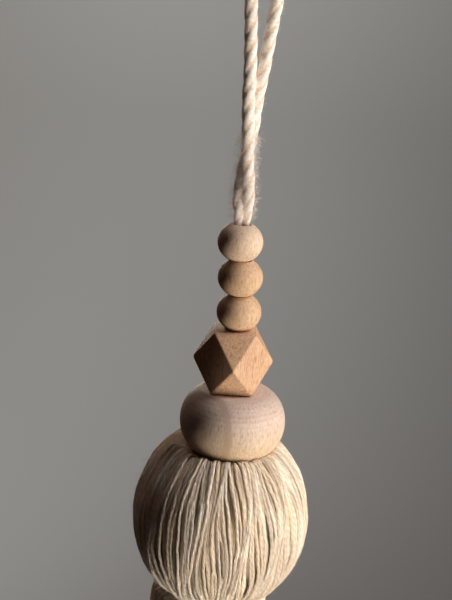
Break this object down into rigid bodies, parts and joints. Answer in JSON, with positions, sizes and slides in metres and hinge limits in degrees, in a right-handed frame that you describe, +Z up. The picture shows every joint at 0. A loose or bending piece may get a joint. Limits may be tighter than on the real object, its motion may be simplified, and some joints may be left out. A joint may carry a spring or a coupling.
{
  "type": "hanging tassel with wooden beads and a yarn head",
  "caption": "Cotton tassel that hangs from a twisted rope loop, with turned and faceted wooden beads over a round yarn head and a straight yarn skirt.",
  "frame": {"origin": "the place inside the top of the rope loop where a hook or nail carries the tassel; everything else hangs below it", "axes": "+Z up along the hanging tassel, -Y to the front, where an edge of the faceted bead faces, +X to the right seen from the front"},
  "size_m": [0.0657, 0.0657, 0.3612],
  "materials": {
    "round_bead_wood": "bare sanded pale wood with a fine upright grain",
    "facet_bead_wood": "bare sanded orange-tan wood, flat faces with crisp, slightly rounded edges",
    "large_bead_wood": "bare sanded pinkish pale wood",
    "cotton_rope": "soft off-white cotton rope of three twisted plies, slightly hairy",
    "cotton_yarn": "unbleached cream cotton yarn, matte"
  },
  "bodies": {
    "root": {"hanging_rope": "cotton_rope", "round_bead_top": "round_bead_wood", "round_bead_middle": "round_bead_wood", "round_bead_lower": "round_bead_wood", "facet_bead": "facet_bead_wood", "large_bead": "large_bead_wood", "yarn_head_and_skirt": "cotton_yarn", "neck_binding": "cotton_yarn"}
  },
  "joints": []
}
